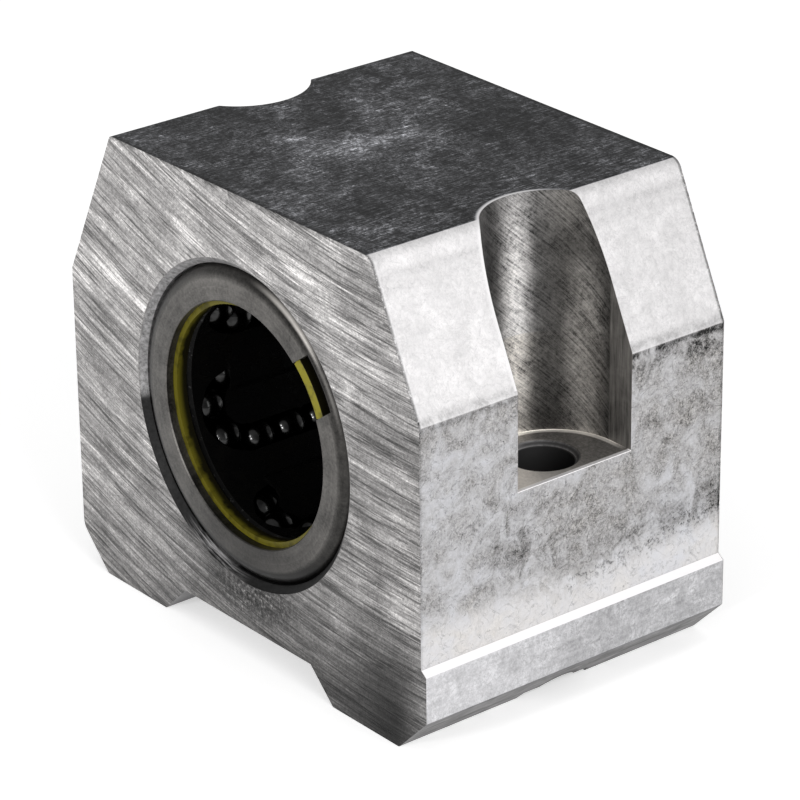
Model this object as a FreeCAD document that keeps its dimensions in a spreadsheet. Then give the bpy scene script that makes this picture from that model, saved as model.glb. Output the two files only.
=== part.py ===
"""Linear bearing unit: a compact linear ball bearing for a 25 mm shaft in an aluminium block.

Frame: +Z up, the shaft lies along Y, and the origin is the middle of the mounting face, which is
the underside of the block's two feet. The milled reference side faces +X. The end of the block
that shows the notch of the bearing faces -Y, and is called the front. Lengths are millimetres.
Angles round the shaft are seen from the front: 0 points to +X, 90 points up.
"""
import FreeCAD, Part
import math
import os
import Sketcher
from FreeCAD import Placement, Rotation, Vector

# Driving sizes, in millimetres unless the remark says otherwise
SIZES = {
    # The extruded block
    "block_width": 60.0,
    "block_height": 53.0,
    "top_width": 43.6,
    "shoulder_height": 35.4,
    "shaft_height": 27.0,
    "end_recess": 0.5,           # at each end of a bearing in the middle of the block
    "bearing_shift": 0.34,       # of the bearing towards the front, out of the middle
    "foot_chamfer": 4.4,
    "channel_mouth": 29.4,
    "channel_ceiling": 22.0,
    "channel_depth": 3.55,
    "edge_radius": 0.4,
    "top_edge_radius": 1.5,
    "foot_edge_radius": 2.0,
    # The milled reference side
    "reference_cut": 0.8,
    "ledge_height": 9.7,
    "ledge_rise": 0.6,
    # The two screw pockets
    "pocket_wall": 0.9,          # the thinnest wall between a pocket and the bore
    "pocket_width": 15.3,
    "pocket_floor": 26.2,        # height above the mounting face
    "screw_offset": 0.05,        # outwards from midway between the pocket's wall and the side
    "screw_hole_dia": 6.6,
    "screw_hole_chamfer": 0.6,
    "spot_face_dia": 10.0,
    "spot_face_depth": 0.95,
    "bore_chamfer": 0.7,
    # The bearing: shaft and balls
    "shaft_dia": 25.0,
    "ball_dia": 3.969,
    "ball_play": 0.02,           # between a loaded ball and its raceway
    "ball_gap": 0.075,           # between neighbours in an end turn
    "return_lift": 0.38,         # how much further out the return row runs
    "turn_tilt": 6.0,            # degrees that an end turn climbs away from the shaft
    "turn_balls": 3,             # balls in an end turn
    "loops": 6,
    "first_row_angle": 216.0,    # degrees, the loaded row of loop 1
    # The drawn outer sleeve
    "sleeve_length": 40.0,
    "sleeve_wall": 1.011,        # at a raceway
    "relief_play": 0.11,         # between a returning ball and the sleeve's inner wall
    "raceway_spread": 9.0,       # degrees
    "flange_thickness": 1.0,
    "flange_width": 4.02,        # how far the turned-in ends reach inwards
    "rim_chamfer": 0.7,
    "notch_angle": 35.5,         # degrees, the middle of the notch
    "notch_spread": 27.0,        # degrees
    "notch_wall": 1.0,           # of the flange, outside the notch
    # The seals
    "seal_clearance": 0.4,       # between the shaft and the seal
    "seal_seat_wall": 1.65,      # of the cage, outside the seal
    "seal_thickness": 1.25,
    "seal_gap": 0.05,
    "lug_height": 0.85,          # of the front seal's lug, which reaches into the notch
    "lug_spread": 26.0,          # degrees
    # The ball cage
    "cage_play": 0.14,           # under the raceways
    "cage_clearance": 0.6,       # between the shaft and the cage's bore
    "cage_mouth_step": 0.8,      # from the seal's bore to the ledge behind the seal
    "cage_mouth_depth": 0.75,
    "cage_end_gap": 0.1,
    "cage_end_wall": 0.2,        # the least wall beyond an end turn
    "slot_play": 0.08,           # between a ball and the wall of its slot
    "rib_clearance": 0.12,       # between the shaft and the ribs over the return rows
    "rib_top_width": 2.4,
    "rib_foot_width": 4.8,
    "rib_root": 0.1,             # how far a rib reaches into the cage's wall
    "rib_overrun": 1.5,          # past the middle of an end turn
}

# How far each loop's balls stand from the middle of their travel, in ball pitches
LOOP_PHASES = {1: 0.24, 2: -0.43, 3: 0.10, 4: -0.35, 5: 0.31, 6: -0.22}

OVERCUT = 1.0                    # how far a cutting section reaches past what it cuts
TURN_SIDES = 8                   # flat sides round the walls of an end turn

doc = FreeCAD.newDocument("linear_bearing_unit")


def write_sheet():
    """Puts the driving sizes in a spreadsheet, one named cell each."""
    sheet = doc.addObject("Spreadsheet::Sheet", "sizes")
    for row, (name, number) in enumerate(SIZES.items(), start=1):
        sheet.set(f"A{row}", name)
        sheet.set(f"B{row}", str(number))
        sheet.setAlias(f"B{row}", name)
    doc.recompute()
    return sheet


sizes = write_sheet()


def value(expression):
    """The number that an expression on the sheet gives."""
    result = sizes.evalExpression(str(expression))
    return float(getattr(result, "Value", result))


# Derived sizes, as expressions on the sheet
BLOCK_LENGTH = "(sizes.sleeve_length + 2 * sizes.end_recess)"
HALF_WIDTH = "(sizes.block_width / 2)"
MILLED_SIDE = f"({HALF_WIDTH} - sizes.reference_cut)"
BALL_RADIUS = "(sizes.ball_dia / 2)"
LOADED_RADIUS = f"(sizes.shaft_dia / 2 + {BALL_RADIUS})"
RETURN_RADIUS = f"({LOADED_RADIUS} + sizes.return_lift)"
RACEWAY_RADIUS = f"(sizes.shaft_dia / 2 + sizes.ball_dia + sizes.ball_play)"
SLEEVE_RADIUS = f"({RACEWAY_RADIUS} + sizes.sleeve_wall)"
RELIEF_RADIUS = f"({RETURN_RADIUS} + {BALL_RADIUS} + sizes.relief_play)"
CAGE_RADIUS = f"({RACEWAY_RADIUS} - sizes.cage_play)"
SLOT_RADIUS = f"({BALL_RADIUS} + sizes.slot_play)"
SLOT_CORNER = f"({SLOT_RADIUS} * tan(22.5 deg))"     # of the octagon round a ball
POCKET_CENTRE = f"({SLEEVE_RADIUS} + sizes.pocket_wall + sizes.pocket_width / 2)"
SCREW_PLACE = f"(({SLEEVE_RADIUS} + sizes.pocket_wall + {HALF_WIDTH}) / 2 + sizes.screw_offset)"

# A ball is drawn as a cube whose edges are cut back until all its faces are equally wide. Its
# corners lie on the real ball: each is as far out as half the cube, times the root of 7 - 4 root 2
BALL_CUBE = "(sizes.ball_dia / sqrt(7 - 4 * sqrt(2)))"
BALL_CUT = f"({BALL_CUBE} / (2 + sqrt(2)))"

# An end turn is a half circle whose balls stand evenly, a chord of one ball and one gap apart
TURN_RADIUS = "((sizes.ball_dia + sizes.ball_gap) / (2 * sin(90 deg / sizes.turn_balls)))"
BALL_PITCH = f"(pi * {TURN_RADIUS} / sizes.turn_balls)"

# Radii of the rings within the sleeve
FLANGE_BORE = f"({SLEEVE_RADIUS} - sizes.flange_width)"
SEAL_BORE = "(sizes.shaft_dia / 2 + sizes.seal_clearance)"
SEAL_RADIUS = f"({CAGE_RADIUS} - sizes.seal_seat_wall)"
CAGE_BORE = "(sizes.shaft_dia / 2 + sizes.cage_clearance)"
CAGE_MOUTH = f"({SEAL_BORE} + sizes.cage_mouth_step)"

# Where the pieces stand along the shaft, from the middle of the bearing outwards
FLANGE_FACE = "(sizes.sleeve_length / 2 - sizes.flange_thickness)"
SEAL_FACE = f"({FLANGE_FACE} - sizes.seal_gap)"
SEAL_SEAT = f"({SEAL_FACE} - sizes.seal_thickness - sizes.seal_gap)"
CAGE_END = f"({FLANGE_FACE} - sizes.cage_end_gap)"
CAGE_BORE_END = f"({SEAL_SEAT} - sizes.cage_mouth_depth)"
TURN_REACH = f"({TURN_RADIUS} * cos(sizes.turn_tilt * 1 deg) + {SLOT_RADIUS})"
ROW_ROOM = f"(2 * ({CAGE_BORE_END} - sizes.cage_end_wall - {TURN_REACH}))"
ROW_BALLS = f"floor({ROW_ROOM} / {BALL_PITCH})"
ROW_LENGTH = f"({ROW_BALLS} * {BALL_PITCH})"
TILT_WEDGE = f"({SLOT_RADIUS} * tan(sizes.turn_tilt * 1 deg))"


class Loop:
    """The endless track of one loop of balls, worked out in the plane across the shaft.

    The plane's own axes are u to +X, v to +Z and w to the front. The loaded row is at an angle of
    0 here, and the return row is clockwise of it. An end turn is a half circle on the line between
    the two rows, tilted outwards by the turn's tilt.
    """

    def __init__(self):
        loaded, back = value(LOADED_RADIUS), value(RETURN_RADIUS)
        self.radius = value(TURN_RADIUS)
        self.pitch = value(BALL_PITCH)
        self.row_balls = int(value(ROW_BALLS))
        self.turn_balls = int(value("sizes.turn_balls"))
        self.half_row = value(ROW_LENGTH) / 2
        self.tilt = value("sizes.turn_tilt")
        cosine = (loaded ** 2 + back ** 2 - 4 * self.radius ** 2) / (2 * loaded * back)
        self.row_angle = math.degrees(math.acos(cosine))
        start = Vector(loaded, 0, 0)
        end = Rotation(Vector(0, 0, 1), -self.row_angle).multVec(Vector(back, 0, 0))
        self.centre = (start + end) / 2
        across = start - end
        self.lean = math.degrees(math.atan2(across.y, across.x)) - 90

    def turn_place(self, front):
        """The place of an end turn: x along its axis, outwards, and z towards the bearing's end."""
        side = 1 if front else -1
        base = self.centre + Vector(0, 0, side * self.half_row)
        return Placement(base, Rotation(self.lean, side * self.tilt, 0 if front else 180))


loop = Loop()


def row_angle_of(number):
    """The angle of a loop's loaded row."""
    return value("sizes.first_row_angle") - (number - 1) * 360 / int(value("sizes.loops"))


def turned(angle):
    """A turn in the plane across the shaft, by an angle seen from the front."""
    return Placement(Vector(0, 0, 0), Rotation(Vector(0, 0, 1), angle))


def across_shaft(place):
    """A place in the plane across the shaft, as a place in the part's frame."""
    middle = Vector(0, -value("sizes.bearing_shift"), value("sizes.shaft_height"))
    upright = Placement(middle, Rotation(Vector(1, 0, 0), 90))
    return upright.multiply(place)


def origin_feature(body, role):
    """A body's own origin plane or axis."""
    return next(item for item in body.Origin.OriginFeatures if item.Role == role)


def new_body(name, in_bearing=True):
    """A sub-part's body. Those of the bearing are drawn about the bearing's own middle."""
    body = doc.addObject("PartDesign::Body", name)
    body.Label = name
    if in_bearing:
        body.setExpression("Placement.Base.y", "-sizes.bearing_shift")
        body.setExpression("Placement.Base.z", "sizes.shaft_height")
    return body


def new_sketch(body, plane, name, offset=None):
    """An empty sketch on one of the body's origin planes."""
    sketch = body.newObject("Sketcher::SketchObject", name)
    sketch.AttachmentSupport = [(origin_feature(body, plane), "")]
    sketch.MapMode = "FlatFace"
    if offset:
        sketch.AttachmentOffset = offset
    return sketch


def bind(sketch, kind, *where, size):
    """Adds one dimension to a sketch and ties it to an expression."""
    index = sketch.addConstraint(Sketcher.Constraint(kind, *where, value(size)))
    sketch.setExpression(f"Constraints[{index}]", str(size))


def join(sketch, kind, *pairs):
    """Joins the end of one element to the start of the next."""
    for first, second in pairs:
        sketch.addConstraint(Sketcher.Constraint(kind, first, 2, second, 1))


def outline(sketch, corners):
    """Draws a closed outline of straight lines. Each corner is a pair of expressions."""
    points = [Vector(value(x), value(y), 0) for x, y in corners]
    lines = [sketch.addGeometry(Part.LineSegment(start, end), False)
             for start, end in zip(points, points[1:] + points[:1])]
    join(sketch, "Coincident", *zip(lines, lines[1:] + lines[:1]))
    for line, (x, y) in zip(lines, corners):
        bind(sketch, "DistanceX", line, 1, size=x)
        bind(sketch, "DistanceY", line, 1, size=y)
    return sketch


def circle(sketch, x, y, radius):
    """Draws a circle whose centre and radius are expressions."""
    centre = Vector(value(x), value(y), 0)
    index = sketch.addGeometry(Part.Circle(centre, Vector(0, 0, 1), value(radius)), False)
    bind(sketch, "DistanceX", index, 3, size=x)
    bind(sketch, "DistanceY", index, 3, size=y)
    bind(sketch, "Radius", index, size=radius)
    return sketch


def slot_outline(sketch, x, y, radius, reach):
    """Draws a slot with a round end about (x, y) that opens along the sketch's own +X."""
    across, along, r, end = value(y), value(x), value(radius), value(reach)
    centre = Vector(along, across, 0)
    arc = Part.ArcOfCircle(Part.Circle(centre, Vector(0, 0, 1), r), math.pi / 2, 3 * math.pi / 2)
    low, high = across - r, across + r
    runs = [(along, low, end, low), (end, low, end, high), (end, high, along, high)]
    arc = sketch.addGeometry(arc, False)
    lower, close, upper = [sketch.addGeometry(
        Part.LineSegment(Vector(x1, y1, 0), Vector(x2, y2, 0)), False) for x1, y1, x2, y2 in runs]
    join(sketch, "Tangent", (arc, lower), (upper, arc))
    join(sketch, "Coincident", (lower, close), (close, upper))
    sketch.addConstraint(Sketcher.Constraint("Horizontal", lower))
    sketch.addConstraint(Sketcher.Constraint("Vertical", close))
    bind(sketch, "DistanceX", arc, 3, size=x)
    bind(sketch, "DistanceY", arc, 3, size=y)
    bind(sketch, "Radius", arc, size=radius)
    bind(sketch, "DistanceX", close, 1, size=reach)
    return sketch


def track_outline(sketch, x, y, reach):
    """Draws the section of a ball track about (x, y): flat walls that close in under the ball.

    The section opens along the sketch's own +X. Its floor and walls are sides of an octagon round
    the ball, with the slot's play.
    """
    wall, corner = SLOT_RADIUS, SLOT_CORNER
    return outline(sketch, [
        (reach, f"{y} - {wall}"), (reach, f"{y} + {wall}"),
        (f"{x} - {corner}", f"{y} + {wall}"), (f"{x} - {wall}", f"{y} + {corner}"),
        (f"{x} - {wall}", f"{y} - {corner}"), (f"{x} - {corner}", f"{y} - {wall}"),
    ])


def turn_outline(sketch, half_width):
    """Draws a half ring of flat sides on the middle line of an end turn, open towards +X.

    The outer sides lie round the true half circle and the inner ones within it, so that a ball
    that passes has its play everywhere.
    """
    outer, inner = f"({TURN_RADIUS} + {half_width})", f"({TURN_RADIUS} - {half_width})"
    corner = f"{outer} / cos({90 / TURN_SIDES} deg)"
    step = 180 / TURN_SIDES
    outside = [(i + 0.5) * step - 90 for i in range(TURN_SIDES)]
    inside = [90 - i * step for i in range(TURN_SIDES + 1)]
    return outline(sketch, [
        ("0", f"-{outer}"),
        *((f"{corner} * cos({angle} deg)", f"{corner} * sin({angle} deg)") for angle in outside),
        ("0", outer),
        *((f"{inner} * cos({angle} deg)", f"{inner} * sin({angle} deg)") for angle in inside),
    ])


def sector_outline(sketch, inner, outer, spread):
    """Draws a sector of a ring about the sketch's origin, spread evenly about its +X."""
    half = math.radians(value(spread)) / 2
    small, large = value(inner), value(outer)
    rim, hole = [sketch.addGeometry(Part.ArcOfCircle(
        Part.Circle(Vector(0, 0, 0), Vector(0, 0, 1), r), -half, half), False) for r in (large, small)]
    sides = []
    for sign in (1, -1):
        way = Vector(math.cos(half), sign * math.sin(half), 0)
        sides.append(sketch.addGeometry(Part.LineSegment(way * small, way * large), False))
        end = 2 if sign > 0 else 1
        sketch.addConstraint(Sketcher.Constraint("Coincident", sides[-1], 1, hole, end))
        sketch.addConstraint(Sketcher.Constraint("Coincident", sides[-1], 2, rim, end))
        sketch.addConstraint(Sketcher.Constraint("PointOnObject", -1, 1, sides[-1]))
        bind(sketch, "Angle", sides[-1], size=f"{sign} * {spread} / 2 * 1 deg")
    for arc, size in ((rim, outer), (hole, inner)):
        sketch.addConstraint(Sketcher.Constraint("Coincident", arc, 3, -1, 1))
        bind(sketch, "Radius", arc, size=size)
    return sketch


def extrude(body, kind, name, sketch, length, both_ways=True, reverse=False):
    """Adds a Pad or a Pocket of a sketch."""
    feature = body.newObject(f"PartDesign::{kind}", name)
    feature.Profile = sketch
    feature.SideType = "Symmetric" if both_ways else "One side"
    feature.Reversed = reverse
    feature.setExpression("Length", length)
    doc.recompute()
    return feature


def revolve(body, kind, name, sketch):
    """Adds a Revolution or a Groove of a sketch, all the way round the sketch's upright axis."""
    feature = body.newObject(f"PartDesign::{kind}", name)
    feature.Profile = sketch
    feature.ReferenceAxis = (sketch, ["V_Axis"])
    feature.Angle = 360
    doc.recompute()
    return feature


def round_shaft(body, name, originals):
    """Repeats features evenly round the shaft, once for each loop."""
    pattern = body.newObject("PartDesign::PolarPattern", name)
    pattern.Originals = originals
    pattern.Axis = (origin_feature(body, "Y_Axis"), [""])
    pattern.Angle = 360
    pattern.setExpression("Occurrences", "sizes.loops")
    body.Tip = pattern
    doc.recompute()
    return pattern


def mirror(body, name, originals):
    """Repeats features on the other side of the shaft."""
    mirrored = body.newObject("PartDesign::Mirrored", name)
    mirrored.Originals = originals
    mirrored.MirrorPlane = (origin_feature(body, "YZ_Plane"), [""])
    body.Tip = mirrored
    doc.recompute()
    return mirrored


def edges_of(feature, test):
    """The names of the edges of a feature that pass a test."""
    return [f"Edge{i}" for i, edge in enumerate(feature.Shape.Edges, start=1) if test(edge)]


def dress(body, kind, name, feature, edges, size):
    """Adds a Fillet or a Chamfer on edges of a feature."""
    dressed = body.newObject(f"PartDesign::{kind}", name)
    dressed.Base = (feature, edges)
    dressed.setExpression("Radius" if kind == "Fillet" else "Size", size)
    body.Tip = dressed
    doc.recompute()
    return dressed


def near(first, second):
    """Whether two numbers are the same to within a hundredth of a millimetre."""
    return abs(first - second) < 0.01


def runs_along_shaft_at(places):
    """A test for straight edges along Y at given places (x, z)."""
    def test(edge):
        ends = [vertex.Point for vertex in edge.Vertexes]
        straight = len(ends) == 2 and near(ends[0].x, ends[1].x) and near(ends[0].z, ends[1].z)
        return straight and any(near(ends[0].x, x) and near(ends[0].z, z) for x, z in places)
    return test


def is_circle(edge, radius):
    """Whether an edge is a whole circle of a radius."""
    whole = isinstance(edge.Curve, Part.Circle) and edge.isClosed()
    return whole and near(edge.Curve.Radius, radius)


def make_housing():
    """The block: extruded profile, milled reference side, bore, screw pockets and screw holes."""
    body = new_body("housing", in_bearing=False)
    top, shoulder, foot = "sizes.block_height", "sizes.shoulder_height", "sizes.foot_chamfer"
    half_profile = [
        ("sizes.channel_ceiling / 2", "sizes.channel_depth"),
        ("sizes.channel_mouth / 2", "0"),
        (f"{HALF_WIDTH} - {foot}", "0"),
        (HALF_WIDTH, foot),
        (HALF_WIDTH, shoulder),
        ("sizes.top_width / 2", top),
    ]
    profile = half_profile + [(f"-({x})", z) for x, z in reversed(half_profile)]
    sketch = outline(new_sketch(body, "XZ_Plane", "extrusion_profile"), profile)
    shape = extrude(body, "Pad", "extrusion", sketch, BLOCK_LENGTH)

    # The die's round corners
    half, side_top = value(HALF_WIDTH), value("sizes.top_width / 2")
    height, knee, toe = value(top), value(shoulder), value(foot)
    rounds = {
        "top_edge_radius": [(side_top, height)],
        "foot_edge_radius": [(-half, toe)],
        "edge_radius": [(-side_top, height), (half, knee), (-half, knee), (half, toe),
                        (half - toe, 0), (toe - half, 0)],
    }
    for size, places in rounds.items():
        edges = edges_of(shape, runs_along_shaft_at(places))
        shape = dress(body, "Fillet", f"{size}_fillet", shape, edges, f"sizes.{size}")

    # The reference side is milled in, down to a slanted ledge above the foot
    sketch = outline(new_sketch(body, "XZ_Plane", "reference_section"), [
        (MILLED_SIDE, "sizes.ledge_height + sizes.ledge_rise"),
        (f"{HALF_WIDTH} + sizes.reference_cut", "sizes.ledge_height - sizes.ledge_rise"),
        (f"{HALF_WIDTH} + sizes.reference_cut", f"{top} + {OVERCUT}"),
        (MILLED_SIDE, f"{top} + {OVERCUT}"),
    ])
    extrude(body, "Pocket", "reference_side", sketch, f"{BLOCK_LENGTH} + {OVERCUT}")

    # The bearing's seat
    sketch = circle(new_sketch(body, "XZ_Plane", "bore_section"), "0", "sizes.shaft_height",
                    SLEEVE_RADIUS)
    shape = extrude(body, "Pocket", "bore", sketch, f"{BLOCK_LENGTH} + {OVERCUT}")
    bore_radius = value(SLEEVE_RADIUS)
    edges = edges_of(shape, lambda edge: is_circle(edge, bore_radius))
    dress(body, "Chamfer", "bore_chamfers", shape, edges, "sizes.bore_chamfer")

    # One screw pocket with its hole and spot face, and its mirror image
    floor = Placement(Vector(0, 0, value("sizes.pocket_floor")), Rotation())
    sketch = new_sketch(body, "XY_Plane", "pocket_section", floor)
    sketch.setExpression("AttachmentOffset.Base.z", "sizes.pocket_floor")
    slot_outline(sketch, POCKET_CENTRE, "0", "sizes.pocket_width / 2", f"{HALF_WIDTH} + {OVERCUT}")
    pocket = extrude(body, "Pocket", "screw_pocket", sketch,
                     f"{top} - sizes.pocket_floor + {OVERCUT}", both_ways=False, reverse=True)
    place = Placement(Vector(value(SCREW_PLACE), 0, 0), Rotation())
    sketch = new_sketch(body, "XZ_Plane", "screw_hole_section", place)
    sketch.setExpression("AttachmentOffset.Base.x", SCREW_PLACE)
    spot, hole = "sizes.spot_face_dia / 2", "sizes.screw_hole_dia / 2"
    rim, floor = f"{hole} + sizes.screw_hole_chamfer", "sizes.pocket_floor"
    outline(sketch, [
        ("0", f"-{OVERCUT}"), (spot, f"-{OVERCUT}"), (spot, "sizes.spot_face_depth"),
        (hole, "sizes.spot_face_depth"), (hole, f"{floor} - sizes.screw_hole_chamfer"),
        (rim, floor), (rim, f"{floor} + {OVERCUT}"), ("0", f"{floor} + {OVERCUT}"),
    ])
    mirror(body, "second_pocket", [pocket, revolve(body, "Groove", "screw_hole", sketch)])
    return body


def notch_sketch(body, name, start):
    """An empty sketch across the shaft, turned to the notch, at a distance to the front."""
    turn = Rotation(Vector(0, 0, 1), value("sizes.notch_angle"))
    sketch = new_sketch(body, "XZ_Plane", name, Placement(Vector(0, 0, value(start)), turn))
    sketch.setExpression("AttachmentOffset.Base.z", start)
    sketch.setExpression("AttachmentOffset.Rotation.Angle", "sizes.notch_angle * 1 deg")
    return sketch


def make_sleeve():
    """The drawn steel sleeve: turned-in ends, a raceway for each loop, and the notch."""
    body = new_body("outer_sleeve")
    end, face = "sizes.sleeve_length / 2", FLANGE_FACE
    section = outline(new_sketch(body, "XY_Plane", "sleeve_section"), [
        (SLEEVE_RADIUS, f"-{end}"), (SLEEVE_RADIUS, end), (FLANGE_BORE, end),
        (FLANGE_BORE, face), (RELIEF_RADIUS, face), (RELIEF_RADIUS, f"-{face}"),
        (FLANGE_BORE, f"-{face}"), (FLANGE_BORE, f"-{end}"),
    ])
    shape = revolve(body, "Revolution", "drawn_sleeve", section)
    rim = value(SLEEVE_RADIUS)
    edges = edges_of(shape, lambda edge: is_circle(edge, rim))
    dress(body, "Chamfer", "turned_in_rims", shape, edges, "sizes.rim_chamfer")

    section = new_sketch(body, "XZ_Plane", "raceway_section", turned(row_angle_of(1)))
    section.setExpression("AttachmentOffset.Rotation.Angle", "sizes.first_row_angle * 1 deg")
    sector_outline(section, RACEWAY_RADIUS, f"({RELIEF_RADIUS} + {SLEEVE_RADIUS}) / 2",
                   "sizes.raceway_spread")
    raceway = extrude(body, "Pad", "raceway", section, ROW_LENGTH)
    round_shaft(body, "raceways", [raceway])

    section = notch_sketch(body, "notch_section", f"{FLANGE_FACE} - {OVERCUT}")
    sector_outline(section, f"{FLANGE_BORE} - {OVERCUT}", f"{SLEEVE_RADIUS} - sizes.notch_wall",
                   "sizes.notch_spread")
    extrude(body, "Pocket", "notch", section, f"sizes.flange_thickness + 2 * {OVERCUT}",
            both_ways=False, reverse=True)
    return body


def make_turn_groove(body, name, place):
    """Cuts an end turn into the cage: the track's section, carried round the half circle."""
    over = place.multiply(Placement(Vector(0, 0, 0), Rotation(Vector(1, 0, 1), 180)))
    sketches = []
    for index, (height, half_width) in enumerate((
            (f"{SLOT_RADIUS} + {OVERCUT}", SLOT_RADIUS), (f"-{SLOT_CORNER}", SLOT_RADIUS),
            (f"-{SLOT_RADIUS}", SLOT_CORNER))):
        level = over.multiply(Placement(Vector(0, 0, value(height)), Rotation()))
        sketch = new_sketch(body, "XZ_Plane", f"{name}_section_{index}", level)
        sketches.append(turn_outline(sketch, half_width))
    groove = body.newObject("PartDesign::SubtractiveLoft", name)
    groove.Profile = sketches[0]
    groove.Sections = [(sketch, [""]) for sketch in sketches[1:]]
    groove.Ruled = True
    doc.recompute()
    return groove


def make_cage():
    """The ball cage: a ring with six endless slots, open to the shaft except at the return rows."""
    body = new_body("ball_cage")
    half_section = [
        (CAGE_RADIUS, CAGE_END), (SEAL_RADIUS, CAGE_END), (SEAL_RADIUS, SEAL_SEAT),
        (CAGE_MOUTH, SEAL_SEAT), (CAGE_BORE, CAGE_BORE_END),
    ]
    section = half_section + [(r, f"-{y}") for r, y in reversed(half_section)]
    sketch = outline(new_sketch(body, "XY_Plane", "cage_section"), section)
    revolve(body, "Revolution", "cage_ring", sketch)

    first = turned(row_angle_of(1))
    back = turned(row_angle_of(1) - loop.row_angle)
    crest, root = "sizes.shaft_dia / 2 + sizes.rib_clearance", f"{CAGE_BORE} + sizes.rib_root"
    sketch = outline(new_sketch(body, "XZ_Plane", "rib_section", back), [
        (crest, "-sizes.rib_top_width / 2"), (root, "-sizes.rib_foot_width / 2"),
        (root, "sizes.rib_foot_width / 2"), (crest, "sizes.rib_top_width / 2"),
    ])
    features = [extrude(body, "Pad", "return_rib", sketch,
                        f"{ROW_LENGTH} + 2 * sizes.rib_overrun")]

    reach = f"{CAGE_RADIUS} + {OVERCUT}"
    for name, place, radius in (("loaded_slot", first, LOADED_RADIUS),
                                ("return_slot", back, RETURN_RADIUS)):
        sketch = new_sketch(body, "XZ_Plane", f"{name}_section", place)
        track_outline(sketch, radius, "0", reach)
        features.append(extrude(body, "Pocket", name, sketch, f"{ROW_LENGTH} + 2 * {TILT_WEDGE}"))
    features += [make_turn_groove(body, name, first.multiply(loop.turn_place(front)))
                 for name, front in (("front_turn", True), ("rear_turn", False))]
    round_shaft(body, "tracks", features)
    return body


def make_seal(name, front):
    """A seal ring, seated in the end of the cage. The front one has a lug in the sleeve's notch."""
    body = new_body(name)
    sign = "-" if front else ""
    face, back = f"{sign}{SEAL_FACE}", f"{sign}({SEAL_FACE} - sizes.seal_thickness)"
    section = outline(new_sketch(body, "XY_Plane", f"{name}_section"), [
        (SEAL_BORE, face), (SEAL_RADIUS, face), (SEAL_RADIUS, back), (SEAL_BORE, back),
    ])
    revolve(body, "Revolution", f"{name}_ring", section)
    if front:
        section = sector_outline(notch_sketch(body, "lug_section", SEAL_FACE), FLANGE_BORE,
                                 SEAL_RADIUS, "sizes.lug_spread")
        extrude(body, "Pad", "lug", section, "sizes.lug_height", both_ways=False)
    return body


def make_ball_pattern():
    """One ball, drawn with few faces: a cube within the ball, with its twelve edges cut back."""
    body = new_body("ball_pattern", in_bearing=False)
    cube = body.newObject("PartDesign::AdditiveBox", "ball_cube")
    for side, axis in zip(("Length", "Width", "Height"), "xyz"):
        cube.setExpression(side, BALL_CUBE)
        cube.setExpression(f"Placement.Base.{axis}", f"-{BALL_CUBE} / 2")
    doc.recompute()
    dress(body, "Chamfer", "ball_facets", cube, edges_of(cube, lambda edge: True), BALL_CUT)
    return body


def make_balls(name, spots, place):
    """A group of balls that move together. Each spot is a ball's centre, as three expressions."""
    balls = []
    for index, spot in enumerate(spots, start=1):
        ball = doc.addObject("App::Link", f"{name}_ball_{index}")
        ball.LinkedObject = ball_pattern
        ball.LinkTransform = True
        for axis, expression in zip("xyz", spot):
            ball.setExpression(f"Placement.Base.{axis}", expression)
        balls.append(ball)
    group = doc.addObject("Part::Compound", name)
    group.Label = name
    group.Links = balls
    group.Placement = place
    return group


def make_loop(number):
    """The four groups of balls of one loop, resting a little off the middle of their travel."""
    shift = f"{LOOP_PHASES.get(number, 0)} * {BALL_PITCH}"
    angle = row_angle_of(number)
    first, back = turned(angle), turned(angle - loop.row_angle)
    row = [f"{i - (loop.row_balls - 1) / 2} * {BALL_PITCH} + {shift}" for i in range(loop.row_balls)]
    groups = [
        make_balls(f"loaded_balls_{number}", [(LOADED_RADIUS, "0", spot) for spot in row],
                   across_shaft(first)),
        make_balls(f"return_balls_{number}", [(RETURN_RADIUS, "0", f"-({spot})") for spot in row],
                   across_shaft(back)),
    ]
    spread = "180 deg / sizes.turn_balls"
    angles = [f"({i + 0.5} + {LOOP_PHASES.get(number, 0)}) * {spread}"
              for i in range(loop.turn_balls)]
    spots = [("0", f"{TURN_RADIUS} * cos({a})", f"{TURN_RADIUS} * sin({a})") for a in angles]
    for name, front in (("front_turn_balls", True), ("rear_turn_balls", False)):
        place = across_shaft(first.multiply(loop.turn_place(front)))
        groups.append(make_balls(f"{name}_{number}", spots, place))
    return groups


def check(part):
    """Stops the build if a sub-part is missing, empty or faulty."""
    shape = part.Shape
    if shape.isNull() or not shape.isValid() or not shape.Solids:
        raise RuntimeError(f"{part.Label} has no sound shape")


ball_pattern = make_ball_pattern()
parts = [make_housing(), make_sleeve(), make_cage(),
         make_seal("front_seal", True), make_seal("rear_seal", False)]
for loop_number in range(1, int(value("sizes.loops")) + 1):
    parts += make_loop(loop_number)
doc.recompute()

for item in doc.Objects:
    if {"Invalid", "Error"} & set(item.State):
        raise RuntimeError(f"{item.Label} failed: {item.State}")
os.makedirs("parts", exist_ok=True)
for part in parts:
    check(part)
for part in parts:
    part.Shape.exportStep(os.path.join("parts", f"{part.Label}.step"))
print(f"{len(parts)} sub-parts, {loop.row_balls} balls in a row, pitch {loop.pitch:.3f} mm, "
      f"rows {loop.row_angle:.2f} degrees apart, row length {2 * loop.half_row:.3f} mm, "
      f"turn radius {loop.radius:.4f} mm")
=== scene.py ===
"""Looks of a linear bearing unit: an aluminium block that holds a ball bearing for a round shaft.

The frame is the CAD model's: +Z is up, the shaft lies along Y, and the milled reference side of
the block faces +X. The block, the cage and the seals keep their meshes and get procedural
finishes. The ring and the balls are drawn anew as smooth surfaces. Lengths in this file are
millimetres, and become metres when a mesh or a lamp is made.
"""
import logging
import math
from dataclasses import dataclass, field
from enum import Enum
from typing import Dict, List, Sequence, Tuple, Union

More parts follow.
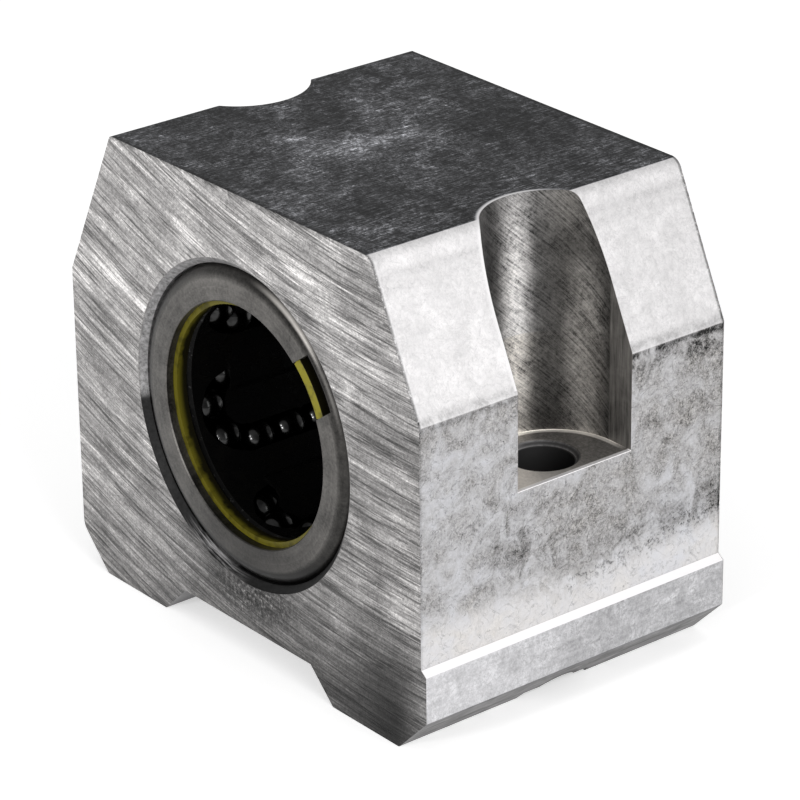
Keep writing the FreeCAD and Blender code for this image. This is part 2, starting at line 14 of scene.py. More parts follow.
import bpy
import numpy as np
from mathutils import Matrix, Vector


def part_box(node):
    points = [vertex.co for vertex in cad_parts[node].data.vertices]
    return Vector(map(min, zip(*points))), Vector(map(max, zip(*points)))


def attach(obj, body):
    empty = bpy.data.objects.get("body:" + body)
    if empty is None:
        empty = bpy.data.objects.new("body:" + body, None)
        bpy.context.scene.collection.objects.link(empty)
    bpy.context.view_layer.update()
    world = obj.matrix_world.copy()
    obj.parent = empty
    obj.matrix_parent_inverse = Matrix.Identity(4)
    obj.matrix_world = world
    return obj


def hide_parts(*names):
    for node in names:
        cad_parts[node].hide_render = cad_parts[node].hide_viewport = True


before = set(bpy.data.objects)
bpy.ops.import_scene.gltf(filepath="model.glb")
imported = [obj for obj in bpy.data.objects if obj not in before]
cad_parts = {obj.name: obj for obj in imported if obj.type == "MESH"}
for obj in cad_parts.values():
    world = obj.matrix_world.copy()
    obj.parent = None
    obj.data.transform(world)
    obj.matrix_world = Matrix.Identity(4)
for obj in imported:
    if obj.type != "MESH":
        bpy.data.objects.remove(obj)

Colour = Tuple[float, float, float]
Point = Tuple[float, float, float]

MM = 0.001
SHAFT_HEIGHT = 27.0
BEARING_MIDDLE = -0.34
MARGIN = 0.05  # How far a mask usually reaches past the surface that it marks
HAIR = 0.03  # How far it reaches where more would show on the surface next to it
CREASE = 35.0  # The least angle, in degrees, at which an edge of a creased piece is sharp
BLACK: Colour = (0.0, 0.0, 0.0)
LOG = logging.getLogger("linear_bearing_unit")


def paint(red: float, green: float, blue: float) -> Colour:
    """The linear colour of a paint that is given as three screen values from 0 to 255.

    Args:
        red: The red screen value.
        green: The green screen value.
        blue: The blue screen value.

    Returns:
        The three linear values from 0 to 1.
    """
    def linear(screen: float) -> float:
        """One channel: a straight foot, then a power of 2.4."""
        share = screen / 255
        return share / 12.92 if share <= 0.04045 else ((share + 0.055) / 1.055) ** 2.4
    return linear(red), linear(green), linear(blue)


def grey(screen: float) -> float:
    """The linear value of a grey screen value from 0 to 255."""
    return paint(screen, screen, screen)[0]


class Field:
    """A number that varies over a surface: a socket with arithmetic that adds Math nodes."""

    def __init__(self, shader: "Shader", socket: bpy.types.NodeSocket) -> None:
        """Wraps an output socket of one of the shader's nodes."""
        self.shader, self.socket = shader, socket

    def __add__(self, other: "Number") -> "Field":
        """The sum."""
        return self.shader.maths("ADD", self, other)

    __radd__ = __add__

    def __sub__(self, other: "Number") -> "Field":
        """The difference."""
        return self.shader.maths("SUBTRACT", self, other)

    def __rsub__(self, other: "Number") -> "Field":
        """The difference, with this number taken away."""
        return self.shader.maths("SUBTRACT", other, self)

    def __mul__(self, other: "Number") -> "Field":
        """The product."""
        return self.shader.maths("MULTIPLY", self, other)

    __rmul__ = __mul__

    def __abs__(self) -> "Field":
        """The size without the sign."""
        return self.shader.maths("ABSOLUTE", self)

    def rise(self, low: float, high: float) -> "Field":
        """A smooth step from 0 at low to 1 at high. With low above high it falls instead."""
        node = self.shader.node(
            "ShaderNodeMapRange", {"Value": self, "From Min": low, "From Max": high},
            interpolation_type="SMOOTHSTEP")
        return self.shader.field(node, "Result")

    def over(self, limit: float, soft: float = 0.02) -> "Field":
        """A mask of where the number lies over a limit."""
        return self.rise(limit - soft, limit + soft)

    def under(self, limit: float, soft: float = 0.02) -> "Field":
        """A mask of where the number lies under a limit."""
        return self.rise(limit + soft, limit - soft)

    def line(self, middle: float, half_width: float) -> "Field":
        """A soft line: 1 where the number is the middle one, 0 beyond the half width."""
        return abs(self - middle).rise(half_width, 0.0)


Number = Union[float, Field]


class Shader:
    """A material's node tree, written as expressions."""

    def __init__(self, name: str) -> None:
        """Starts an empty material with its output node."""
        self.material = bpy.data.materials.new(name)
        self.material.use_nodes = True
        self.tree = self.material.node_tree
        self.tree.nodes.clear()
        self.output = self.tree.nodes.new("ShaderNodeOutputMaterial")

    def node(self, kind: str, inputs: Dict[Union[str, int], object],
             **settings: object) -> bpy.types.Node:
        """Adds any node.

        Args:
            kind: The node's type.
            inputs: Values or links by the name or number of their socket.
            **settings: The node's own settings, which are set before its sockets.

        Returns:
            The new node.
        """
        node = self.tree.nodes.new(kind)
        for name, setting in settings.items():
            setattr(node, name, setting)
        for key, value in inputs.items():
            self.feed(node.inputs[key], value)
        return node

    def feed(self, socket: bpy.types.NodeSocket, value: object) -> None:
        """Links a field or a socket to an input, or sets the input's own value.

        Args:
            socket: The input.
            value: A field, an output socket, a colour or a number.
        """
        if isinstance(value, Field):
            self.tree.links.new(value.socket, socket)
        elif isinstance(value, bpy.types.NodeSocket):
            self.tree.links.new(value, socket)
        elif isinstance(value, tuple) and len(value) == 3 and socket.type == "RGBA":
            socket.default_value = (*value, 1.0)
        else:
            socket.default_value = value

    def field(self, node: bpy.types.Node, output: Union[str, int] = 0) -> Field:
        """An output of a node as a field."""
        return Field(self, node.outputs[output])

    def maths(self, operation: str, *values: Number) -> Field:
        """The result of one Math node."""
        return self.field(self.node("ShaderNodeMath", dict(enumerate(values)),
                                    operation=operation))

    def length(self, across: Field, up: Field) -> Field:
        """The length of the way that goes this far across and this far up."""
        return self.maths("SQRT", across * across + up * up)

    def clamp(self, value: Field, low: float = 0.0, high: float = 1.0) -> Field:
        """A field kept between two limits."""
        return self.field(self.node("ShaderNodeClamp", {"Value": value, "Min": low, "Max": high}))

    def place(self) -> Tuple[Field, Field, Field]:
        """The place on the object.

        Returns:
            x, y and z in millimetres.
        """
        where = self.node("ShaderNodeTexCoord", {})
        scaled = self.node("ShaderNodeVectorMath", {0: where.outputs["Object"], "Scale": 1 / MM},
                           operation="SCALE")
        split = self.node("ShaderNodeSeparateXYZ", {0: scaled.outputs[0]})
        return self.field(split, "X"), self.field(split, "Y"), self.field(split, "Z")

    def noise(self, x: Number, y: Number, z: Number, detail: float = 2.0,
              roughness: float = 0.5, distortion: float = 0.0) -> Field:
        """Cloudy noise from 0 to 1 over three coordinates.

        Args:
            x: The first coordinate, where a step of 1 is about one cloud.
            y: The second coordinate.
            z: The third coordinate.
            detail: How many finer layers are added.
            roughness: How strong the finer layers are.
            distortion: How far the pattern is drawn out of shape.

        Returns:
            The noise as a field.
        """
        where = self.node("ShaderNodeCombineXYZ", {0: x, 1: y, 2: z}).outputs[0]
        return self.field(self.node("ShaderNodeTexNoise", {
            "Vector": where, "Scale": 1.0, "Detail": detail, "Roughness": roughness,
            "Distortion": distortion}, noise_dimensions="3D"))

    def mix(self, share: Number, first: object, second: object) -> bpy.types.NodeSocket:
        """A colour between two colours: the first where the share is 0, the second where 1."""
        node = self.node("ShaderNodeMix", {0: share, 6: first, 7: second}, data_type="RGBA")
        return node.outputs[2]

    def blend(self, share: Field, first: Number, second: Number) -> Field:
        """A number between two numbers: the first where the share is 0, the second where 1."""
        node = self.node("ShaderNodeMix", {0: share, 2: first, 3: second}, data_type="FLOAT")
        return self.field(node)

    def bump(self, height: Field, depth: float, strength: float) -> bpy.types.NodeSocket:
        """A bumpy normal. The depth, in millimetres, is what a height of 1 stands for."""
        return self.node("ShaderNodeBump", {
            "Height": height, "Distance": depth * MM, "Strength": strength}).outputs[0]

    def finish(self, inputs: Dict[str, object]) -> bpy.types.Material:
        """Adds the surface shader and ends the material.

        Args:
            inputs: Values or links by the name of the surface shader's input.

        Returns:
            The material.
        """
        surface = self.node("ShaderNodeBsdfPrincipled", inputs)
        self.tree.links.new(surface.outputs[0], self.output.inputs["Surface"])
        return self.material


@dataclass(frozen=True)
class MetalTint:
    """How a plain tone of a metal becomes a colour, between a cool and a warm grey."""

    cool: Colour = (0.955, 0.975, 1.05)
    warm: Colour = (1.055, 1.0, 0.935)

    def colour(self, shader: Shader, tone: Field, hue: Number) -> bpy.types.NodeSocket:
        """A tone in a hue.

        Args:
            shader: The material's shader.
            tone: The linear tone, 0 to 1.
            hue: 0 for the cool grey, 1 for the warm one.

        Returns:
            The colour's socket.
        """
        return shader.mix(tone, BLACK, shader.mix(hue, self.cool, self.warm))


@dataclass(frozen=True)
class BlockShape:
    """The sizes of the block that its finish follows."""

    half_length: float = 20.5
    top: float = 53.0
    shoulder: float = 35.4
    milled_side: float = 29.2
    skin_side: float = 30.0
    ledge: float = 9.7
    ledge_rise: float = 0.6
    foot_chamfer: float = 4.4
    foot_inner: float = 25.6
    channel: float = 3.6
    bore_mouth: float = 18.2
    pocket_centre: float = 26.05
    pocket_radius: float = 7.65
    pocket_floor: float = 26.2
    screw_place: float = 24.25
    screw_radius: float = 3.3
    screw_chamfer: float = 0.6
    saw_x: float = 29.0
    saw_z: float = 179.0


class AluminiumShader(Shader):
    """The block's shader, with the places and the patterns that its surfaces share.

    Each kind of surface has a method that gives its tone, a linear grey from 0 to 1. A place in
    it is a number of millimetres in the part's frame, and a turn is in radians.
    """

    def __init__(self, shape: BlockShape) -> None:
        """Works out the distances on the block and the shared patterns.

        Args:
            shape: The sizes of the block.
        """
        super().__init__("block_aluminium")
        self.shape = k = shape
        self.x, self.y, self.z = x, y, z = self.place()
        self.wide, self.far = abs(x), abs(y)
        self.from_slot = self.length(self.maths("MINIMUM", self.wide - k.pocket_centre, 0.0), y)
        self.from_shaft = self.length(x, z - SHAFT_HEIGHT)
        self.from_screw = self.length(self.wide - k.screw_place, y)
        self.turn = self.maths("ARCTAN2", z - SHAFT_HEIGHT, x)

        # The skin is drawn along the shaft, the cutter leaves its lay, the rest has no direction
        self.drawn = self.noise(x * 1.6, y * 0.10, z * 1.6, 3.0, 0.6)
        self.drawn_fine = self.noise(x * 5.0, y * 0.45, z * 5.0, 2.0, 0.6)
        self.lay = self.noise(x * 4.0, y * 4.0, z * 0.3, 3.0, 0.6)
        self.cloud = self.noise(x * 0.085, y * 0.085, z * 0.10 + 3.0, 3.0, 0.6, 0.6)
        self.smudge = self.noise(x * 0.35 + 7.0, y * 0.35, z * 0.35, 6.0, 0.65, 0.8)
        self.speck = self.noise(x * 1.9, y * 1.9 + 5.0, z * 1.9, 5.0, 0.75)
        self.grain = self.noise(x * 4.5, y * 4.5, z * 4.5 + 5.0, 3.0, 0.8)
        veins = self.noise(x * 0.45, y * 0.45 + 11.0, z * 0.45, 5.0, 0.62, 1.0)
        fine_veins = self.noise(x * 1.1 + 2.0, y * 1.1, z * 1.1, 4.0, 0.6, 0.8)
        self.vein = veins.line(0.5, 0.035)
        self.crackle = fine_veins.line(0.5, 0.05) * self.smudge.rise(0.36, 0.60)
        self.rim_line = (self.far.rise(k.half_length - 0.45, k.half_length - 0.15)
                         * self.speck.rise(0.36, 0.48))

    def uneven(self, **weights: float) -> Field:
        """The swings of the named patterns about one half, each times its weight, added up."""
        return sum(weight * (getattr(self, name) - 0.5) for name, weight in weights.items())

    def layered(self, bottom: Number, layers: Sequence[Tuple[Field, Number]]) -> Field:
        """A number under layers, of which each takes over where its mask is 1.

        Args:
            bottom: The number where no mask reaches.
            layers: A mask and a number for each layer, the topmost one last.

        Returns:
            The number that shows.
        """
        for mask, value in layers:
            bottom = self.blend(mask, bottom, value)
        return bottom

    def skin_tone(self) -> Field:
        """The drawn skin of the side that isn't milled."""
        return (0.43 - 0.16 * self.crackle
                + self.uneven(drawn=0.6, drawn_fine=0.5, smudge=0.7, speck=0.45, grain=0.25))

    def top_tone(self) -> Field:
        """The dirty top, with a lighter patch in its middle and light lines along its right edge.

        Its darkness is partly dirt and partly painted shade. The tone is two to the power of the
        rub, so light flecks stand out more than dark ones.

        Returns:
            The tone.
        """
        x, y = self.x, self.y
        lighter_patch = x.line(-3.0, 9.0) * y.line(-3.0, 15.0)
        lines = x.rise(8.0, 22.0) * self.drawn_fine.rise(0.52, 0.66) * self.speck.rise(0.40, 0.60)
        # Painted shade: the low base tone keeps the top far darker than the slopes of the same
        # skin, on top of its dirt
        rub = (0.12 + self.uneven(smudge=7.0, speck=6.5, cloud=6.0, drawn_fine=7.0, grain=6.0)
               - 1.5 * self.crackle - 1.1 * self.vein + 1.5 * lighter_patch - 0.45 * y.rise(4.0, 20.0)
               - 1.2 * self.far.over(self.shape.half_length - 0.5, 0.3))
        return 0.079 * self.maths("POWER", 2.0, rub) + 0.12 * lines

    def slope_tone(self) -> Field:
        """The slopes, lighter than the rest of the skin by painted light, with faint dirt along
        both edges and dark lines at the sawn ends.

        Returns:
            The tone.
        """
        z, k, smudge = self.z, self.shape, self.smudge
        dirt = (0.30 * z.line(k.shoulder + 2.1, 0.9) * smudge.rise(0.36, 0.58)
                + 0.15 * z.line(k.top - 2.3, 0.8) * smudge.rise(0.34, 0.56)
                + 0.12 * z.line(k.top - 3.4, 1.0) * smudge.rise(0.38, 0.62))
        # Painted light: the base tone of 0.87 makes the slopes near white, far lighter than the
        # same skin lower on the side
        return (0.87 - 0.05 * self.y.rise(2.0, 12.0) - dirt - 0.14 * self.vein * self.speck
                - 0.10 * self.crackle - 0.55 * self.rim_line
                + self.uneven(smudge=0.45, speck=0.35, grain=0.25))

    def milled_tone(self) -> Field:
        """The milled side: clean over the ledge, blotched above that, smeared at the shoulder.

        Returns:
            The tone.
        """
        y, z, k, smudge, speck = self.y, self.z, self.shape, self.smudge, self.speck
        stain = self.clamp(0.52 + self.uneven(cloud=1.8, smudge=2.2, speck=1.2))
        clean = z.rise(k.ledge + 7.5, k.ledge + 3.0)
        smear = ((z.line(k.shoulder + 1.35, 0.75) * smudge.rise(0.34, 0.46)
                  + z.line(k.shoulder + 0.2, 2.2) * y.rise(2.0, 16.0) * smudge.rise(0.42, 0.56))
                 * (0.5 + 0.5 * y.rise(-18.0, 14.0)))
        slanted = z - 0.14 * y
        clouded = (slanted.line(14.8, 4.0) * y.rise(-9.0, 0.0)
                   + y.line(-8.0, 8.0) * z.line(20.0, 8.0))
        blotch = (slanted.line(13.4, 2.0) * y.rise(-4.0, 0.0) * speck.rise(0.50, 0.57)
                  + 0.45 * clouded * smudge.rise(0.40, 0.56))
        flecks = self.uneven(speck=1.1, grain=0.8) * (0.3 + 0.9 * stain) * (1.0 - 0.7 * clean)
        return (0.55 - 0.23 * stain * (1.0 - clean) + 0.13 * clean + flecks
                - 0.22 * self.vein * speck.rise(0.4, 0.6)
                - 0.12 * self.crackle * (1.0 - 0.8 * clean) - 0.16 * speck.rise(0.60, 0.66)
                - 0.22 * smear - 0.26 * blotch - 0.12 * self.rim_line)

    def foot_tone(self) -> Field:
        """The narrow side below the ledge, lighter towards the front."""
        return (0.50 + 0.16 * self.y.rise(4.0, -18.0) - 0.16 * self.crackle
                + self.uneven(smudge=0.8, speck=0.5, drawn=0.3, grain=0.4))

    def saw_marks(self) -> Tuple[Field, Field]:
        """The marks of the sawn ends: arcs about the saw's middle, and a torn spot at the bore.

        Returns:
            How light the marks are, as powers of two, and how high they stand.
        """
        x, y, z, k, smudge, speck = self.x, self.y, self.z, self.shape, self.smudge, self.speck
        arc = self.length(x - k.saw_x, z - k.saw_z)
        saw = self.noise(arc * 0.80, x * 0.022, y * 0.5, 4.0, 0.7)
        fine = self.noise(arc * 4.0, x * 0.14, y * 0.5 + 4.0, 3.0, 0.75)
        patch = self.noise(x * 0.14, z * 0.14, y * 0.5 + 8.0, 4.0, 0.6, 0.5)
        scores = self.noise(arc * 1.1, x * 0.03, y * 0.5 + 6.0, 3.0, 0.6)
        fine_scores = self.noise(arc * 2.4, x * 0.05, y * 0.5 + 12.0, 2.0, 0.6)
        glints = self.noise(arc * 1.3, x * 0.03, y * 0.5 + 9.0, 3.0, 0.6)
        score = scores.line(0.47, 0.036) * speck.rise(0.38, 0.50)
        fine_score = fine_scores.line(0.5, 0.035) * smudge.rise(0.36, 0.50)
        glint = glints.line(0.54, 0.04) * speck.rise(0.60, 0.48)
        torn = self.turn.line(-1.50, 0.50) * self.from_shaft.rise(23.0, 20.0)
        wear = (3.8 * (saw - 0.5) + 3.9 * (fine - 0.5) * (0.4 + patch) + 2.6 * (patch - 0.5)
                + self.uneven(speck=3.2, grain=2.6) - 1.5 * score - 1.0 * fine_score
                + 0.40 * glint - 0.45 * speck.rise(0.60, 0.66)
                + torn * (14.0 * (speck - 0.5) - 0.9)
                - 0.9 * z.rise(k.top - 0.5, k.top - 0.1) * smudge.rise(0.42, 0.50))
        return wear, saw + 0.5 * fine - 0.5 * score + 2.5 * torn * speck

    def end_tone(self, wear: Field) -> Field:
        """The sawn ends under their wear: lighter at the top, darker low down and by the bore.

        Args:
            wear: How light the saw's marks are, as powers of two.

        Returns:
            The tone.
        """
        x, z = self.x, self.z
        low = z.rise(17.0, 6.0)
        plain = (0.385 + 0.05 * x.rise(0.0, -24.0) * z.rise(20.0, 36.0) + 0.06 * z.rise(38.0, 47.0)
                 - 0.08 * low - 0.15 * low * x.rise(-18.0, -6.0) * x.rise(31.0, 25.0)
                 - 0.05 * z.rise(9.0, 2.0) - 0.09 * x.rise(14.0, 24.0)
                 - 0.08 * self.from_shaft.rise(23.0, 18.0) * z.rise(34.0, 20.0))
        return self.maths("POWER", 2.0, wear) * plain

    def pocket_wall(self) -> Tuple[Field, Field]:
        """The pocket's wall: slanting cutter marks under painted highlights, bands that run from
        top to bottom.

        The wrap is the angle round the wall's half circle, 0 in its middle. Beyond a quarter
        turn either way the wall is flat.

        Returns:
            The wall's tone and how high its marks stand.
        """
        z, k = self.z, self.shape
        inwards = self.maths("MAXIMUM", k.pocket_centre - self.wide, 0.0)
        wrap = self.maths("ARCTAN2", self.y, inwards)
        slant = z + wrap * (0.90 * k.pocket_radius)
        cutter = self.noise(slant * 3.6, wrap * 1.4, self.x * 0.1, 4.0, 0.75)
        lines = self.noise(slant * 1.6, wrap * 0.5, 3.0, 2.0, 0.6).line(0.48, 0.03)
        # Painted highlights: two bright bands down the wall. The dark base between them, and the
        # flat walls, are painted shade in the deep pocket
        bands = (0.065 + 0.46 * wrap.line(0.13, 0.34) * z.rise(55.0, 45.0)
                 + 0.36 * wrap.line(1.14, 0.42) * z.rise(48.0, 37.0)
                 + 0.14 * wrap.line(0.10, 0.50) + 0.05 * z.rise(46.0, 53.0))
        marks = (1.0 + 2.8 * (cutter - 0.5) - 0.40 * lines
                 + self.uneven(speck=2.2, smudge=2.0, grain=1.6))
        flat = 0.15 + self.uneven(lay=0.30, smudge=0.20)
        beyond = abs(wrap).over(math.pi / 2 - 0.03)
        return self.blend(beyond, self.clamp(bands * marks, 0.02), flat), cutter

    def floor_tone(self, edge: Field) -> Field:
        """The pocket's floor, lighter to the front, with a painted highlight ring by the wall.

        Args:
            edge: A mask of the painted highlight along the floor's outer edge.

        Returns:
            The tone.
        """
        # Painted highlights: a bright ring by the wall, and the bright line along the floor's
        # outer edge
        ring = self.from_slot.over(self.shape.pocket_radius - 0.55, 0.15) * self.x.rise(29.0, 25.0)
        return (0.20 + 0.55 * self.y.rise(3.0, -6.0) + 1.10 * ring + edge
                + self.uneven(speck=0.35, lay=0.3))

    def bore_tone(self) -> Field:
        """The bore's chamfer: bright where it was cut, dark with painted shade over its lower
        part, scuffed below.

        Returns:
            The tone.
        """
        turn = self.turn
        # Painted shade: the mask oiled darkens the lower part of the chamfer to the tone oil, for
        # the gap by the ring that lies in shadow
        oiled = turn.under(-0.35, 0.2) * turn.over(-3.0, 0.03)
        scuff = self.noise(turn * 4.0, self.from_shaft * 6.0, 2.0, 3.0, 0.7).rise(0.40, 0.68)
        cut, oil = 0.24 + self.uneven(speck=0.8), 0.014 + self.uneven(speck=0.04)
        return self.blend(oiled, cut, oil) + 0.45 * turn.line(-1.88, 0.36) * scuff


@dataclass(frozen=True)
class BlockAluminium:
    """The block's aluminium: sawn ends, drawn skin, milled side and fresh cutter marks."""

    shape: BlockShape = BlockShape()
    tint: MetalTint = MetalTint()
    end_margin: float = 0.06
    side_margin: float = 0.04
    floor_margin: float = 0.08

    def material(self) -> bpy.types.Material:
        """Builds the block's one material: masks of its surfaces, and a tone for each.

        Returns:
            The material.
        """
        k, s = self.shape, AluminiumShader(self.shape)
        x, y, z, wide = s.x, s.y, s.z, s.wide
        ends = s.far.over(k.half_length - self.end_margin)
        top = z.over(k.top - MARGIN)
        slope = z.over(k.shoulder + 1.6, 0.1)
        milled = x.over(k.milled_side - self.side_margin) * x.under(k.milled_side + MARGIN)
        over_ledge = milled * z.over(k.ledge + 0.2) * (1.0 - slope)
        outside = x.over(k.milled_side + self.side_margin)
        ledge = outside * z.over(k.ledge - HAIR) * z.under(k.ledge + k.ledge_rise)
        foot = outside * z.under(k.ledge)
        chamfer = z.under(k.foot_chamfer - HAIR) * wide.over(k.foot_inner - MARGIN)
        below = z.under(k.channel) * wide.under(k.foot_inner - MARGIN)
        in_pocket = z.over(k.pocket_floor - self.floor_margin)
        pocket = s.from_slot.under(k.pocket_radius + HAIR) * in_pocket
        floor = pocket * z.under(k.pocket_floor + MARGIN)
        # Painted highlight: a bright line along the pocket floor's outer edge
        floor_edge_highlight = x.over(k.milled_side - 0.45, 0.1) + x.under(0.45 - k.skin_side, 0.1)
        # Painted shade and highlight: the screw hole is near black, and its chamfer gets a bright
        # crescent towards the front
        hole = (s.from_screw.under(k.screw_radius + self.floor_margin)
                * z.under(k.pocket_floor - k.screw_chamfer / 2))
        hole_rim_highlight = (s.from_screw.line(k.screw_radius + k.screw_chamfer / 2, 0.45)
                     * z.under(k.pocket_floor - HAIR))
        # Painted highlight: a bright line along the pocket's rim on the slope, towards the front
        edge_highlight = (s.from_slot.line(k.pocket_radius + 0.15, 0.42) * y.rise(6.5, 2.0)
                     * z.over(k.shoulder + 2.0) * x.rise(0.0, 5.0))
        bore = s.from_shaft.under(k.bore_mouth + HAIR)

        wear, sawn = s.saw_marks()
        wall_tone, cutter = s.pocket_wall()
        tone = s.layered(s.skin_tone(), (
            (slope, s.slope_tone()), (over_ledge, s.milled_tone()), (foot, s.foot_tone()),
            (chamfer, 0.17 + s.uneven(drawn=0.4, smudge=0.5)), (below, 0.23 + s.uneven(drawn=0.3)),
            # Painted highlight: the narrow ledge is near white, a bright line along the side
            (ledge, 0.98), (top, s.top_tone()), (edge_highlight, 0.93), (ends, s.end_tone(wear)),
            (pocket, wall_tone), (floor, s.floor_tone(floor_edge_highlight)),
            (hole_rim_highlight, 0.07 + 0.55 * y.rise(1.0, -3.0) * x.rise(25.0, 23.0)),
            (hole, 0.05), (bore, s.bore_tone())))
        hue = s.layered(s.clamp(0.5 + s.uneven(cloud=1.3, smudge=1.6)), (
            (1.0 - milled * 0.6, 0.50), (slope, 0.50), (top, 0.12), (foot, 0.36), (ends, 0.62),
            (pocket, 1.0), (s.clamp(edge_highlight + floor * floor_edge_highlight), 0.50)))
        height = s.layered(0.4 * s.drawn + 0.2 * s.drawn_fine, ((ends, sawn), (pocket, cutter)))
        return s.finish({
            "Base Color": self.tint.colour(s, s.clamp(tone, 0.008, 0.98), hue),
            "Metallic": s.blend(ledge, 0.5, 0.0),
            "Roughness": s.layered(s.blend(s.smudge, 0.42, 0.62), ((ends, 0.50), (pocket, 0.36))),
            "Specular IOR Level": 0.2,
            "Normal": s.bump(height, 0.05, 0.6)})


@dataclass(frozen=True)
class RingSteel:
    """The drawn steel ring: satin, with turning marks round the shaft and a few dull spots."""

    tone: float = grey(84)
    hue: float = 0.95
    rim_radius: float = 16.1
    lit_radius: float = 16.95
    tint: MetalTint = MetalTint()

    def material(self) -> bpy.types.Material:
        """Builds the ring's material, with painted shade at the rim and below, and a painted
        highlight line on the rim.

        Returns:
            The material.
        """
        s = Shader("ring_steel")
        x, y, z = s.place()
        from_shaft = s.length(x, z - SHAFT_HEIGHT)
        turn = s.maths("ARCTAN2", z - SHAFT_HEIGHT, x)
        turned = s.noise(from_shaft * 5.0, y * 2.0, 0.3, 2.0, 0.6)
        cloud = s.noise(x * 0.3, y * 0.3, z * 0.3, 4.0, 0.65)
        speck = s.noise(x * 3.0, y * 3.0, z * 3.0, 4.0, 0.75)
        # Painted highlight: a light line on the rim, up and to the right. Painted shade: darker
        # over the rim and below, lighter towards the top
        lit = turn.line(1.10, 0.42) * from_shaft.line(self.lit_radius, 0.35)
        shade = (1.0 - 0.62 * from_shaft.over(self.rim_radius, 0.35)
                 - 0.60 * turn.line(-1.5, 1.2) + 0.22 * turn.line(1.9, 0.6))
        marks = 1.0 + 0.8 * (turned - 0.5) + 2.0 * (cloud - 0.5) + 2.0 * (speck - 0.5)
        tone = s.clamp(self.tone * marks * shade + 0.6 * lit, 0.01, 0.9)
        return s.finish({
            "Base Color": self.tint.colour(s, tone, self.hue), "Metallic": 0.85,
            "Roughness": 0.36 + 0.3 * (cloud - 0.5) + 0.2 * (speck - 0.5),
            "Normal": s.bump(turned, 0.01, 0.5)})


@dataclass(frozen=True)
class CagePlastic:
    """The cage's black plastic, wet with oil in places."""

    dry: Colour = (0.002, 0.002, 0.002)
    oiled: Colour = (0.004, 0.0038, 0.0035)

    def material(self) -> bpy.types.Material:
        """Builds the cage's material.

        Returns:
            The material.
        """
        s = Shader("cage_plastic")
        x, y, z = s.place()
        oil = s.noise(x * 0.6, y * 0.35, z * 0.6, 3.0, 0.6, 0.8)
        drops = s.noise(x * 1.6, y * 1.2, z * 1.6 + 9.0, 2.0, 0.5)
        return s.finish({
            "Base Color": s.mix(oil.rise(0.4, 0.7), self.dry, self.oiled),
            "Roughness": s.blend(oil.rise(0.40, 0.62), 0.34, 0.18), "Specular IOR Level": 0.08,
            "Coat Weight": 0.5 * drops.rise(0.62, 0.68), "Coat Roughness": 0.06,
            "Normal": s.bump(drops + 0.5 * oil, 0.06, 0.6)})


@dataclass(frozen=True)
class SealPlastic:
    """The seal's yellow plastic, duller on its lip, dark on its outer rim, with patches of oil,
    and darker with painted shade deeper in its bore.
    """

    clean: Colour = paint(128, 121, 27)
    dull: Colour = paint(98, 92, 27)
    oil: Colour = paint(22, 20, 8)
    face: float = 18.95
    bore: float = 12.9
    lug: float = 13.46
    rim: float = 14.699

    def material(self) -> bpy.types.Material:
        """Builds the seal's material.

        Returns:
            The material.
        """
        s = Shader("seal_plastic")
        x, y, z = s.place()
        cloud = s.noise(x * 0.5, y * 0.5, z * 0.5, 3.0, 0.6)
        grain = s.noise(x * 6.0, y * 6.0, z * 6.0, 2.0, 0.6)
        from_shaft = s.length(x, z - SHAFT_HEIGHT)
        depth = self.face - abs(y - BEARING_MIDDLE)
        # Painted shade: the bore darkens deeper in. The outer rim is dark, and oil leaves dark
        # patches
        oil_and_shade = (depth.rise(0.05, 0.95) * from_shaft.under(self.bore + MARGIN)
                + from_shaft.over(self.rim - MARGIN) + 0.5 * cloud.rise(0.48, 0.66))
        dull = from_shaft.under(self.lug) + 0.4 * cloud.rise(0.45, 0.65)
        dry = s.mix(s.clamp(dull), self.clean, self.dull)
        return s.finish({
            "Base Color": s.mix(s.clamp(oil_and_shade), dry, self.oil),
            "Roughness": 0.36 + 0.2 * (grain - 0.5), "Specular IOR Level": 0.12,
            "Normal": s.bump(grain, 0.012, 0.5)})


@dataclass(frozen=True)
class BallSteel:
    """The polished balls, which a film of oil dulls in places."""

    dark: Colour = (grey(56) * 0.4,) * 3
    light: Colour = (grey(56),) * 3

    def material(self) -> bpy.types.Material:
        """Builds the balls' material.

        Returns:
            The material.
        """
        s = Shader("ball_steel")
        x, y, z = s.place()
        film = s.noise(x * 0.9, y * 0.9, z * 0.9, 2.0, 0.5)
        return s.finish({"Base Color": s.mix(film.rise(0.35, 0.65), self.dark, self.light),
                         "Metallic": 1.0, "Roughness": 0.10 + 0.14 * film})


class Sheen(Enum):
    """How a new piece's faces are shaded."""

    SMOOTH = "smooth"
    CREASED = "creased"


def make_piece(name: str, points: np.ndarray, faces: np.ndarray, sheen: Sheen,
               finish: bpy.types.Material) -> bpy.types.Object:
    """Puts a surface in the scene as a piece, with its place in its mesh.

    Args:
        name: The piece's name.
        points: The places of its corners, one row each, in millimetres.
        faces: The numbers of each face's corners, one row each.
        sheen: How the faces are shaded.
        finish: The piece's material.

    Returns:
        The new object.
    """
    mesh = bpy.data.meshes.new(name)
    mesh.from_pydata((points * MM).tolist(), [], faces.tolist())
    mesh.polygons.foreach_set("use_smooth", np.ones(len(mesh.polygons), dtype=bool))
    if sheen is Sheen.CREASED:
        mesh.set_sharp_from_angle(angle=math.radians(CREASE))
    mesh.materials.append(finish)
    mesh.validate()
    mesh.update()
    piece = bpy.data.objects.new(name, mesh)
    bpy.context.scene.collection.objects.link(piece)
    return piece


def dress(node: str, finish: bpy.types.Material) -> None:
    """Gives a node of the frame a material.

    Args:
        node: The node's name.
        finish: The material.
    """
    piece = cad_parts[node]
    if piece.material_slots:
        piece.material_slots[0].material = finish
    else:
        piece.data.materials.append(finish)
    LOG.info("%s: dressed with %s", node, finish.name)


